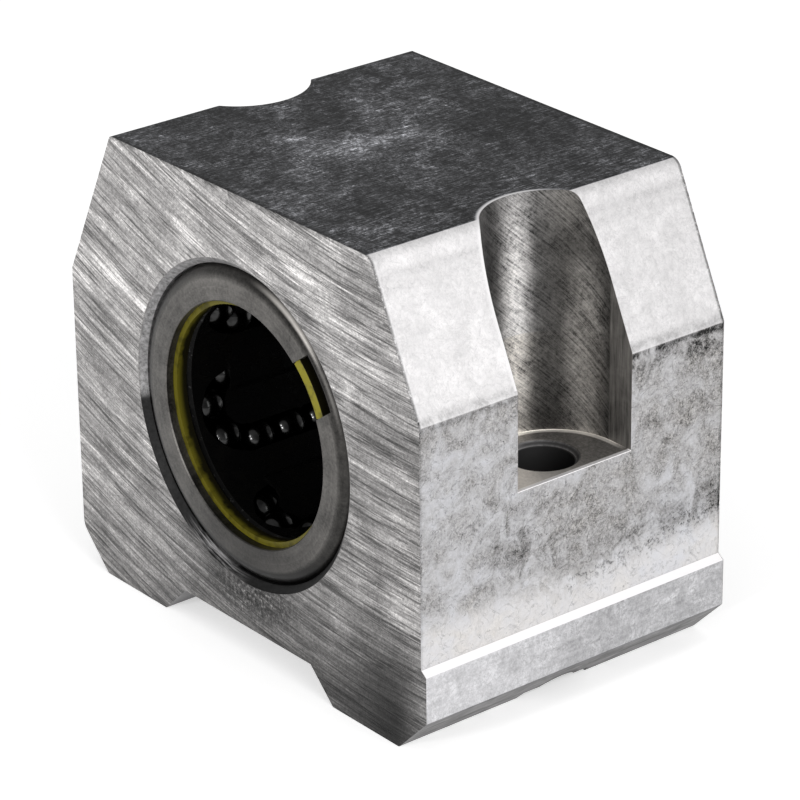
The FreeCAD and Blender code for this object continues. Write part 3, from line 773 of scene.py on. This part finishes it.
def closed_grid(rows: int, columns: int) -> np.ndarray:
    """The faces of a grid that is closed both ways, four corners each.

    Args:
        rows: The number of rows of points.
        columns: The number of points in a row.

    Returns:
        One row of four corner numbers for each face.
    """
    row, column = np.meshgrid(np.arange(rows), np.arange(columns), indexing="ij")
    below, right = (row + 1) % rows, (column + 1) % columns
    corners = [row * columns + column, row * columns + right,
               below * columns + right, below * columns + column]
    return np.stack([c.ravel() for c in corners], axis=1)


@dataclass
class Block:
    """The aluminium block."""

    finish: BlockAluminium = field(default_factory=BlockAluminium)

    def build(self) -> None:
        """Dresses the block."""
        dress("housing", self.finish.material())


@dataclass(frozen=True)
class RingShape:
    """The sizes of the drawn ring that the bearing's ends show, with angles in degrees."""

    radius: float = 17.5
    half_length: float = 20.0
    wall_radius: float = 16.959
    flange_face: float = 19.0
    flange_bore: float = 13.48
    rim_radius: float = 1.6
    rim_points: int = 9
    edge: float = 0.12
    notch_bore: float = 16.25
    notch_middle: float = 35.5
    notch_spread: float = 27.0
    notch_reach: float = 90.0
    notch_columns: int = 24
    columns: int = 240


@dataclass
class OuterRing:
    """The drawn outer ring with its rounded rims and its notch."""

    shape: RingShape = field(default_factory=RingShape)
    finish: RingSteel = field(default_factory=RingSteel)

    def angles(self) -> Tuple[np.ndarray, np.ndarray]:
        """The angles round the shaft, with double ones at the notch, and where the notch is.

        Returns:
            The angles in degrees, and a mask that is true in the notch.
        """
        k = self.shape
        low, high = (k.notch_middle + side * k.notch_spread / 2 for side in (-1, 1))
        even = np.linspace(high, low + 360, k.columns)
        notch = np.linspace(low, high, k.notch_columns)
        return np.concatenate([even, notch]), np.arange(k.columns + k.notch_columns) >= k.columns

    def profile(self, bore: np.ndarray, front: int) -> List[Tuple[np.ndarray, np.ndarray]]:
        """One end's profile, from the outer wall round the rim to behind the flange.

        Each point is a radius and a distance along the shaft. The rim is part of a circle: its
        centre plus the rim radius times the cosine and sine of an angle, a quarter turn at most,
        and less in the notch, where the bore cuts into the rim.

        Args:
            bore: The flange's bore radius at each angle round the shaft.
            front: 1 for the end with the notch, -1 for the other one.

        Returns:
            The points, from the outer wall inwards.
        """
        k, ones = self.shape, np.ones_like(bore)
        middle, depth = k.radius - k.rim_radius, k.half_length - k.rim_radius
        reach = np.clip((bore + 2 * k.edge - middle) / k.rim_radius, 0, 1)
        points = [(middle + k.rim_radius * np.cos(turn), depth + k.rim_radius * np.sin(turn))
                  for turn in np.arccos(reach) * np.linspace(0, 1, k.rim_points)[:, None]]
        face = points[-1][1]
        points += [(bore + k.edge, face), (bore, face - k.edge),
                   (bore, ones * k.flange_face), (ones * k.wall_radius, ones * k.flange_face)]
        return [(radius, front * along) for radius, along in points]

    def narrowing(self, angles: np.ndarray, radius: np.ndarray) -> np.ndarray:
        """How far the angles draw towards the notch's middle, in degrees.

        At a side of the notch, the angle from its middle is the arcsine of half the notch's width
        over the radius. Inside the notch the shift grows with the angle from the middle, and
        outside it fades out over the reach.

        Args:
            angles: The angles round the shaft, in degrees.
            radius: The radius of each point, one row for each angle.

        Returns:
            The shift of each point.
        """
        k = self.shape
        half = k.notch_spread / 2
        away = (angles - k.notch_middle + 180) % 360 - 180
        fade = np.clip((k.notch_reach - abs(away)) / (k.notch_reach - half), 0, 1)
        share = np.where(abs(away) <= half, away / half, np.sign(away) * fade)
        width = k.flange_bore * math.sin(math.radians(half))
        return share[:, None] * (np.degrees(np.arcsin(width / radius)) - half)

    def build(self) -> bpy.types.Object:
        """Builds the ring: at each angle round the shaft, a closed profile of radius and length.

        A point is (radius cos angle, bearing's middle - length, shaft height + radius sin angle).
        The notch's two sides are parallel: further out, the angles draw towards its middle.

        Returns:
            The ring's object.
        """
        k = self.shape
        angles, notched = self.angles()
        front = self.profile(np.where(notched, k.notch_bore, k.flange_bore), 1)
        back = self.profile(np.full(len(angles), k.flange_bore), -1)
        loop = front + back[::-1]
        radius = np.stack([r for r, _ in loop], axis=1)
        along = np.stack([y for _, y in loop], axis=1)
        turn = np.radians(angles[:, None] + self.narrowing(angles, radius) * (along > 0))
        points = np.stack([radius * np.cos(turn), BEARING_MIDDLE - along,
                           SHAFT_HEIGHT + radius * np.sin(turn)], axis=2).reshape(-1, 3)
        ring = make_piece("steel_ring", points, closed_grid(len(angles), len(loop)),
                          Sheen.CREASED, self.finish.material())
        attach(ring, "bearing_block")
        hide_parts("outer_sleeve")
        LOG.info("steel_ring: %d points", len(points))
        return ring


class Group(Enum):
    """The four groups of balls of a loop, by the name of their piece and of their body."""

    LOADED = ("loaded_balls", "loaded_row")
    RETURN = ("return_balls", "return_row")
    FRONT_TURN = ("front_turn_balls", "front_turn_group")
    REAR_TURN = ("rear_turn_balls", "rear_turn_group")


@dataclass(frozen=True)
class BallSizes:
    """The sizes of the balls and of their endless tracks, with angles in degrees."""

    ball_radius: float = 1.9845
    loaded_radius: float = 14.4845
    return_radius: float = 14.8645
    turn_radius: float = 4.044
    turn_balls: int = 3
    row_balls: int = 5
    first_angle: float = 216.0
    between_loops: float = 60.0
    tilt: float = 6.0
    phases: Tuple[float, ...] = (0.24, -0.43, 0.10, -0.35, 0.31, -0.22)
    rings: int = 21
    around: int = 40

    @property
    def pitch(self) -> float:
        """The way from ball to ball along the track."""
        return math.pi * self.turn_radius / self.turn_balls

    @property
    def half_row(self) -> float:
        """Half the length of a straight row."""
        return self.row_balls * self.pitch / 2

    @property
    def row_angle(self) -> float:
        """The angle between the two rows of a loop, in radians, by the law of cosines."""
        a, b, c = self.loaded_radius, self.return_radius, 2 * self.turn_radius
        return math.acos((a * a + b * b - c * c) / (2 * a * b))


@dataclass
class BallLoop:
    """One loop of sixteen balls on an endless track: two straight rows and two half circles."""

    number: int
    finish: bpy.types.Material
    sizes: BallSizes = field(default_factory=BallSizes)

    @property
    def angle(self) -> float:
        """The angle of the loaded row round the shaft, in radians."""
        return math.radians(self.sizes.first_angle - (self.number - 1) * self.sizes.between_loops)

    @property
    def phase(self) -> float:
        """How far the loop stands from the middle of its travel, in pitches."""
        return self.sizes.phases[self.number - 1]

    def sphere(self) -> Tuple[np.ndarray, np.ndarray]:
        """A ball about the origin: radius times (cos v cos u, cos v sin u, sin v).

        Returns:
            The points, with the two poles last, and the faces, of three corners each.
        """
        rings, around = self.sizes.rings, self.sizes.around
        v = np.linspace(-math.pi / 2, math.pi / 2, rings + 2)[1:-1, None]
        u = np.linspace(0, 2 * math.pi, around, endpoint=False)[None, :]
        grid = np.stack([np.cos(v) * np.cos(u), np.cos(v) * np.sin(u), np.sin(v) + 0 * u], axis=2)
        points = np.concatenate([grid.reshape(-1, 3), [[0, 0, -1], [0, 0, 1]]])
        row, column = np.meshgrid(np.arange(rings - 1), np.arange(around), indexing="ij")
        right = (column + 1) % around
        a, b = row * around + column, row * around + right
        c, d = b + around, a + around
        bands = np.concatenate([np.stack([a, b, c], 2).reshape(-1, 3),
                                np.stack([a, c, d], 2).reshape(-1, 3)])
        side = np.arange(around)
        after = (side + 1) % around
        last, low, high = (rings - 1) * around, rings * around, rings * around + 1
        poles = np.concatenate([
            np.stack([after, side, np.full(around, low)], 1),
            np.stack([last + side, last + after, np.full(around, high)], 1)])
        return points * self.sizes.ball_radius, np.concatenate([bands, poles])

    def row_centres(self, group: Group) -> np.ndarray:
        """The centres of a straight row's balls, a pitch apart along the shaft.

        Args:
            group: The loaded row or the return row.

        Returns:
            One centre in a line, in the part's frame.
        """
        k, angle, radius = self.sizes, self.angle, self.sizes.loaded_radius
        spots = (np.arange(k.row_balls) - (k.row_balls - 1) / 2 + self.phase) * k.pitch
        if group is Group.RETURN:
            angle, radius, spots = angle - k.row_angle, k.return_radius, -spots
        return np.stack([np.full(k.row_balls, radius * math.cos(angle)),
                         BEARING_MIDDLE - spots,
                         np.full(k.row_balls, SHAFT_HEIGHT + radius * math.sin(angle))], 1)

    def turn_centres(self, front: bool) -> np.ndarray:
        """The centres of an end turn's balls, even steps round a tilted half circle.

        A centre is the turn's own centre, plus the turn radius times the cosine of its angle
        towards the loaded row, plus the turn radius times the sine outwards along the shaft. The
        half circle is tilted away from the shaft.

        Args:
            front: Whether the turn is the one at the front.

        Returns:
            One centre in a line, in the part's frame.
        """
        k, angle, side = self.sizes, self.angle, 1 if front else -1
        start = k.loaded_radius * np.array([math.cos(angle), 0, math.sin(angle)])
        end = k.return_radius * np.array([math.cos(angle - k.row_angle), 0,
                                          math.sin(angle - k.row_angle)])
        towards = (start - end) / np.linalg.norm(start - end)
        outwards = np.array([towards[2], 0, -towards[0]])
        forward = np.array([0.0, -side, 0.0])
        tilt = math.radians(k.tilt)
        along = forward * math.cos(tilt) + outwards * math.sin(tilt)
        bearing = np.array([0, BEARING_MIDDLE, SHAFT_HEIGHT])
        middle = bearing + (start + end) / 2 + forward * k.half_row
        turns = ((np.arange(k.turn_balls) + 0.5 + self.phase) * math.pi / k.turn_balls)[:, None]
        return middle + k.turn_radius * (np.cos(turns) * side * towards + np.sin(turns) * along)

    def build(self, group: Group) -> bpy.types.Object:
        """Builds one group of the loop's balls.

        Args:
            group: Which of the four groups.

        Returns:
            The group's object.
        """
        if group in (Group.LOADED, Group.RETURN):
            centres = self.row_centres(group)
        else:
            centres = self.turn_centres(group is Group.FRONT_TURN)
        ball, faces = self.sphere()
        points = (centres[:, None, :] + ball[None, :, :]).reshape(-1, 3)
        shifts = np.arange(len(centres))[:, None, None] * len(ball)
        node, body = (f"{name}_{self.number}" for name in group.value)
        piece = make_piece(f"polished_{node}", points, (faces[None] + shifts).reshape(-1, 3),
                           Sheen.SMOOTH, self.finish)
        low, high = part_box(node)
        middle = (np.array(low) + np.array(high)) / 2 / MM
        drift = np.abs((points.min(0) + points.max(0)) / 2 - middle).max()
        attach(piece, body)
        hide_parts(node)
        LOG.info("%s: %d balls, %.3f mm from the frame's", piece.name, len(centres), drift)
        return piece


@dataclass
class Bearing:
    """The bearing in the block: its ring, its cage, its two seals and its loops of balls."""

    loops: int = 6

    def build(self) -> None:
        """Builds the ring and the balls, and dresses the cage and the seals."""
        OuterRing().build()
        dress("ball_cage", CagePlastic().material())
        seal = SealPlastic().material()
        for node in ("front_seal", "rear_seal"):
            dress(node, seal)
        steel = BallSteel().material()
        for number in range(1, self.loops + 1):
            loop = BallLoop(number, steel)
            for group in Group:
                loop.build(group)


@dataclass(frozen=True)
class Lamp:
    """A soft lamp: a square that shines towards a point. Its power is in watts."""

    name: str
    place: Point
    size: float
    power: float
    target: Point = (0.0, 0.0, SHAFT_HEIGHT)

    def build(self) -> None:
        """Hangs the lamp."""
        light = bpy.data.lights.new(self.name, "AREA")
        light.energy = self.power
        light.shape = "SQUARE"
        light.size = self.size * MM
        lamp = bpy.data.objects.new(self.name, light)
        way = Vector(self.target) - Vector(self.place)
        lamp.matrix_world = (Matrix.Translation(Vector(self.place) * MM)
                             @ way.to_track_quat("-Z", "Y").to_matrix().to_4x4())
        bpy.context.scene.collection.objects.link(lamp)


@dataclass
class Studio:
    """The plain pale floor, the soft lamps and the camera, with the camera's angles in degrees."""

    floor_half: float = 3000.0
    floor_tone: float = 0.94
    floor_glow: float = 0.45
    sky: float = 0.5
    azimuth: float = 51.1196
    elevation: float = 24.558
    roll: float = -0.636
    place: Point = (304.18, -244.50, 202.32)
    lens: float = 180.088
    sensor: float = 36.0
    lamps: Tuple[Lamp, ...] = (
        Lamp("side_softbox", (620.0, -60.0, 330.0), 420.0, 2.0),
        Lamp("front_softbox", (70.0, -620.0, 250.0), 80.0, 0.9),
        Lamp("front_strip", (180.0, -560.0, 110.0), 36.0, 0.8),
    )

    def floor(self) -> None:
        """Lays the floor, which glows a little for the camera and for reflections alone."""
        s = Shader("pale_floor")
        ray = s.node("ShaderNodeLightPath", {})
        seen = s.maths("MAXIMUM", s.field(ray, "Is Camera Ray"), s.maths(
            "MAXIMUM", s.field(ray, "Is Glossy Ray"), s.field(ray, "Is Transmission Ray")))
        matt = s.node("ShaderNodeBsdfDiffuse", {"Color": (self.floor_tone,) * 3})
        glow = s.node("ShaderNodeEmission", {"Color": (1.0, 1.0, 1.0),
                                             "Strength": self.floor_glow})
        both = s.node("ShaderNodeAddShader", {0: matt.outputs[0], 1: glow.outputs[0]})
        chosen = s.node("ShaderNodeMixShader", {0: seen, 1: matt.outputs[0],
                                                2: both.outputs[0]})
        s.tree.links.new(chosen.outputs[0], s.output.inputs["Surface"])
        half = self.floor_half
        points = np.array([(-half, -half, 0), (half, -half, 0), (half, half, 0), (-half, half, 0)])
        make_piece("floor", points, np.array([[0, 1, 2, 3]]), Sheen.SMOOTH, s.material)

    def world(self) -> None:
        """Fills the room with an even pale light."""
        world = bpy.data.worlds.new("room")
        world.use_nodes = True
        background = world.node_tree.nodes["Background"]
        background.inputs["Color"].default_value = (1.0, 1.0, 1.0, 1.0)
        background.inputs["Strength"].default_value = self.sky
        bpy.context.scene.world = world

    def camera(self) -> None:
        """Sets the camera at the photograph's angle: right, up and back are its axes."""
        az, el, roll = (math.radians(a) for a in (self.azimuth, self.elevation, self.roll))
        back = Vector((math.sin(az) * math.cos(el), -math.cos(az) * math.cos(el), math.sin(el)))
        right = Vector((math.cos(az), math.sin(az), 0))
        up = back.cross(right)
        across = math.cos(roll) * right + math.sin(roll) * up
        upwards = math.cos(roll) * up - math.sin(roll) * right
        data = bpy.data.cameras.new("camera")
        data.lens = self.lens
        data.sensor_width = self.sensor
        data.clip_start, data.clip_end = 0.01, 20.0
        camera = bpy.data.objects.new("camera", data)
        turn = Matrix((across, upwards, back)).transposed().to_4x4()
        camera.matrix_world = Matrix.Translation(Vector(self.place) * MM) @ turn
        bpy.context.scene.collection.objects.link(camera)
        bpy.context.scene.camera = camera

    def build(self) -> None:
        """Sets up the room."""
        self.camera()
        self.world()
        self.floor()
        for lamp in self.lamps:
            lamp.build()
        bpy.context.scene.view_settings.view_transform = "Standard"


def corners(box: Tuple[Vector, Vector]) -> List[List[float]]:
    """A box as plain lists of numbers."""
    return [[float(value) for value in corner] for corner in box]


def main() -> None:
    """Builds the classes in order."""
    logging.basicConfig(level=logging.INFO, format="%(name)s: %(message)s")
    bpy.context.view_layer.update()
    Studio().build()
    Block().build()
    Bearing().build()


if __name__ == "__main__":
    main()
